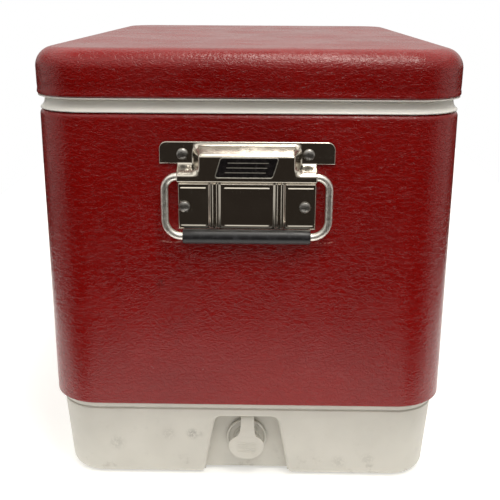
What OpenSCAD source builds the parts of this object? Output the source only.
// Steel-belted picnic cooler chest with a hinged lid, swinging end handles, a front hasp
// and a drain at the +X end. Millimetres, +Z up, standing on Z = 0.

/* [Chest] */
// overall height of the closed chest
chest_height = 410; // [380:1:440]
// half length between the corner centres
corner_x = 234; // [200:1:260]
// half width between the corner centres
corner_y = 141; // [120:1:170]
// outer corner radius of the steel body
body_radius = 47; // [40:0.5:55]
// thickness of the steel sheet
sheet = 0.8; // [0.6:0.1:1.2]
// height where the steel body begins above the floor
body_bottom = 83; // [70:1:95]
// height of the steel body's top shoulder
body_top = 356; // [330:1:380]

/* [Lid] */
// height of the lid's bottom hem
lid_bottom = 369; // [345:1:390]
// outer corner radius of the lid
lid_radius = 49; // [42:0.5:57]
// roundness of the lid's top edge
lid_fillet = 18; // [8:1:24]

/* [Handles] */
// height of the bail's pivot
bail_pivot_z = 303; // [296:0.5:308]
// distance of the bail's pivot from the steel end
bail_pivot_out = 8; // [7:0.5:10]
// radius of the bail wire
bail_wire = 3.4; // [2.5:0.1:4]
// half width between the bail's arms
bail_half = 71.5; // [68:0.5:78]
// drop from the pivot to the grip
bail_drop = 53.4; // [40:0.2:60]
// radius of the vinyl grip
grip_radius = 6.5; // [5.5:0.1:8]

/* [Drain] */
// height of the drain's axis
drain_z = 37; // [34:0.5:42]
// radius of the drain's bore
drain_bore = 6.5; // [5:0.1:8]

/* [Hinges and hasp] */
// distance of the two rear hinges from the middle
hinge_x = 145; // [120:5:210]
// radius of the hinge pins
pin_radius = 1.6; // [1.2:0.1:2.5]

/* [Hidden] */
body_end = corner_x + body_radius;
body_side = corner_y + body_radius;
lid_side = corner_y + lid_radius;
recess_wall = 256;
recess_top = 68;
hinge_y = 198;
hinge_z = 369;
hasp_y = -197;
hasp_z = 373;
bore_gap = 0.06;
red = [0.45, 0.04, 0.03];
white = [0.85, 0.83, 0.78];
chrome = [0.75, 0.75, 0.76];
black = [0.05, 0.05, 0.05];
foam = [0.93, 0.91, 0.85];

// points along an arc about (cx, cy)
function arc(cx, cy, r, a0, a1, n) =
  [for (i = [0 : n]) [cx + r * cos(a0 + (a1 - a0) * i / n), cy + r * sin(a0 + (a1 - a0) * i / n)]];

// sweep a profile (outward distance, height) around the rounded plan
module around() {
  for (i = [0 : 3]) {
    sx = (i == 0 || i == 3) ? 1 : -1;
    sy = i < 2 ? 1 : -1;
    translate([sx * corner_x, sy * corner_y, 0])
      rotate([0, 0, 90 * i])
        rotate_extrude(angle = 90)
          children();
  }
  for (s = [0, 180]) {
    rotate([0, 0, s])
      translate([corner_x, corner_y, 0])
        rotate([90, 0, 0])
          linear_extrude(2 * corner_y)
            children();
    rotate([0, 0, s + 90])
      translate([corner_y, corner_x, 0])
        rotate([90, 0, 0])
          linear_extrude(2 * corner_x)
            children();
  }
}

// the block between the four corner centres
module core(z0, z1) {
  translate([-corner_x, -corner_y, z0])
    cube([2 * corner_x, 2 * corner_y, z1 - z0]);
}

// a cylinder along +X
module rod_x(r, length) {
  rotate([0, 90, 0])
    cylinder(r = r, h = length);
}

// a cylinder along +Y
module rod_y(r, length) {
  rotate([-90, 0, 0])
    cylinder(r = r, h = length);
}

// a plate standing in the YZ plane, given as its outline and thickness along X
module plate_x(points, thickness) {
  rotate([90, 0, 90])
    linear_extrude(thickness)
      polygon(points);
}

// outline with rounded corners, centred on y = 0
function rounded_box(w, z0, z1, r) = concat(
  arc(w / 2 - r, z1 - r, r, 0, 90, 4), arc(-w / 2 + r, z1 - r, r, 90, 180, 4),
  arc(-w / 2 + r, z0 + r, r, 180, 270, 4), arc(w / 2 - r, z0 + r, r, 270, 360, 4));

// positions of one end bracket's screws (y, z)
bracket_screws = [[54.5, 322.5], [-54.5, 322.5], [54.2, 275.3], [-54.2, 275.3]];
hinge_body_screws_at = [[-14, 350], [14, 350], [-14, 330], [14, 330]];
hinge_lid_screws_at = [[-14, 384], [14, 384]];
hasp_mount_screws_at = [[-20, 388], [20, 388]];
hasp_catch_screws_at = [[-13, 340], [13, 340], [0, 322]];

// clearance holes for every screw that enters the steel body and the foam behind it
module body_screw_holes(r) {
  for (e = [1, -1])
    for (p = bracket_screws)
      translate([e > 0 ? body_end - 14 : -body_end - 6, p[0], p[1]])
        rod_x(r, 20);
  for (s = [1, -1])
    for (p = hinge_body_screws_at)
      translate([s * hinge_x + p[0], body_side - 14, p[1]])
        rod_y(r, 20);
  for (p = hasp_catch_screws_at)
    translate([p[0], -body_side - 6, p[1]])
      rod_y(r, 20);
}

// clearance holes for every screw that enters the lid
module lid_screw_holes(r) {
  for (s = [1, -1])
    for (p = hinge_lid_screws_at)
      translate([s * hinge_x + p[0], lid_side - 14, p[1]])
        rod_y(r, 20);
  for (p = hasp_mount_screws_at)
    translate([p[0], -lid_side - 6, p[1]])
      rod_y(r, 20);
}

// rolled steel jacket
module body_shell() {
  color(red)
    difference() {
      around()
        polygon(concat([[38, body_bottom]], arc(45, body_bottom + 2, 2, -90, 0, 3),
          arc(42, body_top - 5, 5, 0, 90, 5), [[36, body_top], [36, body_top - sheet]],
          arc(42, body_top - 5, 5 - sheet, 90, 0, 5),
          arc(45, body_bottom + 2, 2 - sheet, 0, -90, 3), [[38, body_bottom + sheet]]));
      body_screw_holes(2.1);
    }
}

// outline of the drain recess, grown by g
function recess_outline(g) = concat([[41 + g, -1], [41 + g, 3 - g]],
  arc(18, recess_top - 10, 10 + g, 6, 90, 5), arc(-18, recess_top - 10, 10 + g, 90, 174, 5),
  [[-41 - g, 3 - g], [-41 - g, -1]]);

// drain recess cut or its surrounding walls
module recess_block(g, x0, x_low, x_high, z0) {
  intersection() {
    translate([x0, 0, 0])
      plate_x(recess_outline(g), 60);
    rotate([90, 0, 0])
      translate([0, 0, -60])
        linear_extrude(120)
          polygon([[x0, z0], [x_low, z0], [x_high, recess_top + g], [x0, recess_top + g]]);
  }
}

// moulded plastic base with its floor, foot ring and drain recess
module base_pan() {
  color(white)
    difference() {
      union() {
        around()
          polygon(concat([[0, 6], [28, 6], [28, 0]], arc(32.4, 4, 4, -90, -3, 4),
            [[40.4, 76], [39.7, 76.6], [39.7, 77.6], [41.2, 78.4], [41.2, body_bottom],
            [37.7, body_bottom], [37.7, 95], [34.9, 95], [34.9, 78], [37.2, 73], [33.4, 9],
            [0, 9]]));
        core(6, 9);
        recess_block(3, recess_wall - 3, 268.5, 272.5, 3);
      }
      recess_block(0, recess_wall, 290, 290, -1);
      translate([recess_wall - 4, 0, drain_z])
        rod_x(8.7, 5);
    }
}

// inner tub with its rolled rim, the white band under the lid
module liner() {
  color(white)
    difference() {
      union() {
        around()
          polygon(concat([[0, 24]], arc(2.5, 32, 8, -90, 0, 5), [[16.5, 364]],
            arc(20, 364, 3.5, 180, 90, 3), arc(40, 365, 2.5, 90, 0, 3),
            arc(47, 361.5, 4.5, 180, 262, 5), [[46.4, 356.2], [41, 356.2], [41, 358], [40, 361],
            [40, 365], [19, 365]], arc(2.5, 32, 10.5, 0, -90, 5), [[0, 21.5]]));
        core(21.5, 24);
      }
      translate([corner_x + 5, 0, drain_z])
        rod_x(12.2, 5.5);
      translate([corner_x + 5, 0, drain_z])
        rod_x(8.7, 12);
    }
}

// foam in the walls between the jacket, base and tub
module body_insulation() {
  color(foam)
    difference() {
      around()
        polygon([[13.3, 32.2], [34.44, 32.2], [36.8, 72.6], [34.6, 77.4], [34.6, 95.4],
          [45.9, 95.4], [45.9, 351], [42.4, 354.8], [35.6, 354.8], [35.6, 364.7],
          [19.2, 364.7]]);
      recess_block(3.3, recess_wall - 3.3, 300, 300, 2);
      translate([corner_x + 8, 0, drain_z])
        rod_x(8.8, 14);
      body_screw_holes(2.1);
    }
}

// foam slab under the tub
module floor_insulation() {
  color(foam)
    difference() {
      union() {
        around()
          polygon(concat([[0, 9.3], [33.1, 9.3], [34.41, 31.8], [13.3, 31.8]],
            arc(2.5, 32, 10.8, -1, -90, 4), [[0, 21.2]]));
        core(9.3, 21.2);
      }
      recess_block(3.3, recess_wall - 3.3, 300, 300, 2);
      translate([corner_x + 8, 0, drain_z])
        rod_x(8.8, 14);
    }
}

// pressed steel lid with a hemmed skirt
module lid_shell() {
  f = lid_fillet;
  r = lid_radius;
  h = chest_height;
  color(red)
    difference() {
      union() {
        around()
          polygon(concat([[0, h]], arc(r - f, h - f, f, 90, 0, 8),
            arc(r - 2, lid_bottom + 2, 2, 0, -90, 3),
            [[r - 6, lid_bottom], [r - 6, lid_bottom + sheet]],
            arc(r - 2, lid_bottom + 2, 2 - sheet, -90, 0, 3),
            arc(r - f, h - f, f - sheet, 0, 90, 8), [[0, h - sheet]]));
        core(h - sheet, h);
      }
      lid_screw_holes(2.1);
    }
}

// plastic inner lid that plugs into the tub
module lid_liner() {
  color(white) {
    around()
      polygon([[0, 362], [13, 362], [15, 364], [15, 368.2], [26, 368.2], [26, 370.2],
        [34, 370.2], [34, 368.2], [47.4, 368.2], [47.4, 369], [42.8, 369], [42.8, 372],
        [17.5, 372], [12.5, 366.5], [11.5, 364.5], [0, 364.5]]);
    core(362, 364.5);
  }
}

// foam inside the lid
module lid_insulation() {
  color(foam)
    difference() {
      union() {
        around()
          polygon(concat([[0, 364.8], [11.4, 364.8], [12.3, 366.8], [17.3, 372.3],
            [47.9, 372.3]], arc(lid_radius - lid_fillet, chest_height - lid_fillet,
            lid_fillet - sheet - 0.3, 0, 90, 6), [[0, chest_height - sheet - 0.3]]));
        core(364.8, chest_height - sheet - 0.3);
      }
      lid_screw_holes(2.1);
    }
}

// sealing strip in the inner lid's groove
module lid_gasket() {
  color(black)
    around()
      polygon([[26.2, 367.7], [33.8, 367.7], [33.8, 370.1], [26.2, 370.1]]);
}

// the pressed sheet's section (outward, height), from the panel up to the foot of the tunnel's crown
function tunnel_section(top_out, crown) = [[0, 254.5], [1.6, 254.5], [1.6, 294.2], [13.4, 297.8],
  [13.4, crown], [1.6, crown + 8.4], [1.6, top_out], [0, top_out], [0, crown + 7.8],
  [12, crown - 0.8], [12, 299], [0, 295.6]];

// a section of the bracket, extruded across from y0 to y1
module across(points, y0, y1) {
  translate([0, y1, 0])
    rotate([90, 0, 0])
      linear_extrude(y1 - y0)
        polygon(points);
}

// one chrome bracket, drawn against the end face at x = 0
module bracket() {
  color(chrome)
    difference() {
      union() {
        across(tunnel_section(332.5, 322), -44, 44);
        for (s = [0, 1])
          mirror([0, s, 0]) {
            across(tunnel_section(315, 306), 44, 60.5);
            across([[0, 329.8], [1.6, 330.4], [13.4, 322], [13.4, 306], [1.6, 314.4], [0, 313.8]],
              44, 45.4);
            plate_x(concat([[44, 315], [76.3, 315]], arc(69.8, 326, 6.5, 0, 90, 4),
              [[44, 332.5]]), 1.6);
            across([[0, 295.7], [12, 299.1], [12, 304], [0, 309]], 49, 59);
            for (y = [25.6, 31.2])
              translate([1.6, y - 2, 256.5])
                cube([2.4, 4, 36.5]);
          }
        translate([13.4, 0, 0])
          plate_x(rounded_box(50, 302.5, 318.5, 3), 1);
      }
      for (s = [-1, 1])
        translate([bail_pivot_out, s * 54 - 8, bail_pivot_z])
          rod_y(bail_wire + bore_gap, 16);
      for (p = bracket_screws)
        translate([-1, p[0], p[1]])
          rod_x(2.1, 6);
    }
}

// one dome-headed screw along +X, head bearing at x = 0
module screw(length) {
  rotate([0, 90, 0])
    rotate_extrude()
      polygon(concat([[0, -length], [2, -length], [2, 0], [5.2, 0], [5.2, 0.6]],
        [for (a = [20 : 20 : 80]) [5.2 * cos(a), 0.6 + 2.4 * sin(a)]], [[0, 3]]));
}

// the four screws of one bracket
module bracket_screw_set() {
  color(chrome)
    for (p = bracket_screws)
      translate([1.6, p[0], p[1]])
        screw(14);
}

// one bail wire, hanging from its pivot
module bail() {
  bend = 15;
  top = 11;
  low = bail_pivot_z - bail_drop;
  color(chrome)
    translate([bail_pivot_out, 0, 0]) {
      for (s = [0, 180])
        rotate([0, 0, s]) {
          translate([0, 48, bail_pivot_z])
            rod_y(bail_wire, bail_half - top - 48);
          translate([0, bail_half - top, bail_pivot_z - top])
            rotate([0, -90, 0])
              rotate_extrude(angle = 90)
                translate([top, 0])
                  circle(r = bail_wire);
          translate([0, bail_half, low + bend])
            cylinder(r = bail_wire, h = bail_drop - top - bend);
          translate([0, bail_half - bend, low + bend])
            rotate([0, 90, 0])
              rotate_extrude(angle = 90)
                translate([bend, 0])
                  circle(r = bail_wire);
        }
      translate([0, -bail_half + bend, low])
        rod_y(bail_wire, 2 * (bail_half - bend));
    }
}

// one vinyl grip on the bail's straight run
module grip() {
  color(black)
    translate([bail_pivot_out, 0, bail_pivot_z - bail_drop])
      difference() {
        union() {
          translate([0, -54, 0])
            rod_y(grip_radius, 108);
          for (s = [0, 180])
            rotate([0, 0, s])
              translate([0, 54, 0])
                rotate([-90, 0, 0])
                  cylinder(r1 = grip_radius, r2 = 5, h = 2);
        }
        translate([0, -58, 0])
          rod_y(bail_wire + 0.02, 116);
      }
}

// put one end fitting on the drain end or, turned round, on the plain end
module at_end(drain_end) {
  rotate([0, 0, drain_end ? 0 : 180])
    translate([body_end, 0, 0])
      children();
}

module drain_end_bracket() {
  at_end(true)
    bracket();
}

module drain_end_screws() {
  at_end(true)
    bracket_screw_set();
}

module drain_end_bail() {
  at_end(true)
    bail();
}

module drain_end_grip() {
  at_end(true)
    grip();
}

module plain_end_bracket() {
  at_end(false)
    bracket();
}

module plain_end_screws() {
  at_end(false)
    bracket_screw_set();
}

module plain_end_bail() {
  at_end(false)
    bail();
}

module plain_end_grip() {
  at_end(false)
    grip();
}

// flanged tube through the tub and the base
module drain_spout() {
  color(white)
    translate([0, 0, drain_z])
      difference() {
        union() {
          translate([242.4, 0, 0])
            rod_x(12, 2);
          translate([242.4, 0, 0])
            rod_x(8.4, 21.1);
        }
        translate([240, 0, 0])
          rod_x(drain_bore, 30);
      }
}

// rubber washer outside the recess wall
module drain_washer() {
  color(black)
    translate([recess_wall, 0, drain_z])
      difference() {
        rod_x(17, 1.5);
        translate([-1, 0, 0])
          rod_x(8.6, 4);
      }
}

// round nut on the drain tube
module drain_nut() {
  color(white)
    translate([recess_wall + 1.5, 0, drain_z])
      difference() {
        union() {
          rod_x(19.5, 2);
          rod_x(14, 4);
        }
        translate([-1, 0, 0])
          rod_x(8.5, 6);
      }
}

// push-in plug with its round cap
module drain_plug() {
  color(white)
    translate([0, 0, drain_z])
      difference() {
        union() {
          translate([263.8, 0, 0])
            rod_x(16, 3.4);
          translate([267.2, 0, 0])
            rotate([0, 90, 0])
              cylinder(r1 = 16, r2 = 14.6, h = 1);
          translate([252, 0, 0])
            rod_x(drain_bore - bore_gap, 12);
        }
        translate([250, 0, 0])
          rod_x(4.4, 13);
      }
}

// tether from the recess ceiling to the plug's cap
module drain_strap() {
  color(white) {
    rotate([90, 0, 0])
      translate([0, 0, -6.5])
        linear_extrude(13)
          polygon([[261, 67.8], [261, 66.2], [265.4, 66.2], [267.2, 62], [268.3, 54],
            [268.3, 44], [269.8, 44], [269.8, 55], [268.8, 62.6], [266.4, 67.8]]);
    translate([268.3, 0, 44])
      rod_x(6.5, 1.5);
  }
}

// leaves of both rear hinges that are screwed to the body
module hinge_body_leaves() {
  color(chrome)
    for (s = [-1, 1])
      translate([s * hinge_x, 0, 0])
        difference() {
          union() {
            translate([-24, body_side, 318])
              cube([48, 1.6, 46]);
            for (x = [-24, 8.2])
              translate([x, hinge_y, hinge_z])
                rod_x(4, 15.8);
            for (x = [-24, 8.2])
              translate([x, body_side, 359])
                cube([15.8, 7.2, 5]);
            for (x = [-24, 8.2])
              translate([x, hinge_y - 4, 359])
                cube([15.8, 3, hinge_z - 359]);
          }
          translate([-25, hinge_y, hinge_z])
            rod_x(pin_radius + 0.02, 50);
          for (p = hinge_body_screws_at)
            translate([p[0], body_side - 1, p[1]])
              rod_y(2.1, 4);
        }
}

// leaves of both rear hinges that are screwed to the lid
module hinge_lid_leaves() {
  color(chrome)
    for (s = [-1, 1])
      translate([s * hinge_x, 0, 0])
        difference() {
          union() {
            translate([-24, lid_side, 375])
              cube([48, 1.6, 17]);
            translate([-7.8, hinge_y, hinge_z])
              rod_x(4, 15.6);
            translate([-7.8, lid_side, 375])
              cube([15.6, 11, 3]);
            translate([-7.8, hinge_y, hinge_z])
              cube([15.6, 3, 9]);
          }
          translate([-8, hinge_y, hinge_z])
            rod_x(pin_radius + bore_gap, 16);
          for (p = hinge_lid_screws_at)
            translate([p[0], lid_side - 1, p[1]])
              rod_y(2.1, 4);
        }
}

// pins of both rear hinges
module hinge_pins() {
  color(chrome)
    for (s = [-1, 1])
      translate([s * hinge_x, hinge_y, hinge_z]) {
        translate([-24.6, 0, 0])
          rod_x(pin_radius, 49.2);
        for (x = [-25.6, 24.1])
          translate([x, 0, 0])
            rod_x(2.6, 1.5);
      }
}

// screws of the leaves on the body
module hinge_body_screws() {
  color(chrome)
    for (s = [-1, 1])
      for (p = hinge_body_screws_at)
        translate([s * hinge_x + p[0], body_side + 1.6, p[1]])
          rotate([0, 0, 90])
            screw(12);
}

// screws of the leaves on the lid
module hinge_lid_screws() {
  color(chrome)
    for (s = [-1, 1])
      for (p = hinge_lid_screws_at)
        translate([s * hinge_x + p[0], lid_side + 1.6, p[1]])
          rotate([0, 0, 90])
            screw(12);
}

// plate on the lid's front skirt that carries the hasp
module hasp_mount() {
  color(chrome)
    difference() {
      union() {
        translate([-29, -lid_side - 1.6, 379])
          cube([58, 1.6, 18]);
        for (x = [-29, 15.2])
          translate([x, hasp_y, hasp_z])
            rod_x(3.6, 13.8);
        for (x = [-29, 15.2])
          translate([x, hasp_y - 1.4, hasp_z])
            cube([13.8, 2.8, 8.5]);
        for (x = [-29, 15.2])
          translate([x, hasp_y - 1.4, 379])
            cube([13.8, 8.4, 2.5]);
      }
      translate([-30, hasp_y, hasp_z])
        rod_x(pin_radius + 0.02, 60);
      for (p = hasp_mount_screws_at)
        translate([p[0], -lid_side - 4, p[1]])
          rod_y(2.1, 6);
    }
}

// screws of the hasp's mount
module hasp_mount_screws() {
  color(chrome)
    for (p = hasp_mount_screws_at)
      translate([p[0], -lid_side - 1.6, p[1]])
        rotate([0, 0, -90])
          screw(12);
}

// swinging hasp with its finger lip
module hasp_plate() {
  color(chrome)
    difference() {
      union() {
        translate([-14.8, hasp_y, hasp_z])
          rod_x(3.6, 29.6);
        translate([-14.8, hasp_y - 1.4, 312])
          cube([29.6, 2, hasp_z - 312]);
        translate([-14.8, hasp_y - 5.4, 310.5])
          cube([29.6, 6, 2]);
      }
      translate([-16, hasp_y, hasp_z])
        rod_x(pin_radius + bore_gap, 32);
      translate([-9, hasp_y - 4, 340.5])
        cube([18, 8, 13]);
    }
}

// pin of the hasp
module hasp_pin() {
  color(chrome)
    translate([0, hasp_y, hasp_z]) {
      translate([-29.6, 0, 0])
        rod_x(pin_radius, 59.2);
      for (x = [-30.6, 29.1])
        translate([x, 0, 0])
          rod_x(2.6, 1.5);
    }
}

// catch on the body that the hasp snaps over
module hasp_catch() {
  color(chrome)
    difference() {
      union() {
        translate([-19, -body_side - 1.6, 315])
          cube([38, 1.6, 38]);
        translate([-8, -body_side - 7.6, 343.5])
          cube([16, 6.2, 1.6]);
        translate([-8, -body_side - 7.6, 343.5])
          cube([16, 1.6, 6]);
      }
      for (p = hasp_catch_screws_at)
        translate([p[0], -body_side - 4, p[1]])
          rod_y(2.1, 6);
    }
}

// screws of the catch
module hasp_catch_screws() {
  color(chrome)
    for (p = hasp_catch_screws_at)
      translate([p[0], -body_side - 1.6, p[1]])
        rotate([0, 0, -90])
          screw(12);
}

body_shell();
base_pan();
liner();
body_insulation();
floor_insulation();
lid_shell();
lid_liner();
lid_insulation();
lid_gasket();
drain_end_bracket();
drain_end_screws();
drain_end_bail();
drain_end_grip();
plain_end_bracket();
plain_end_screws();
plain_end_bail();
plain_end_grip();
drain_spout();
drain_washer();
drain_nut();
drain_plug();
drain_strap();
hinge_body_leaves();
hinge_lid_leaves();
hinge_pins();
hinge_body_screws();
hinge_lid_screws();
hasp_mount();
hasp_mount_screws();
hasp_plate();
hasp_pin();
hasp_catch();
hasp_catch_screws();
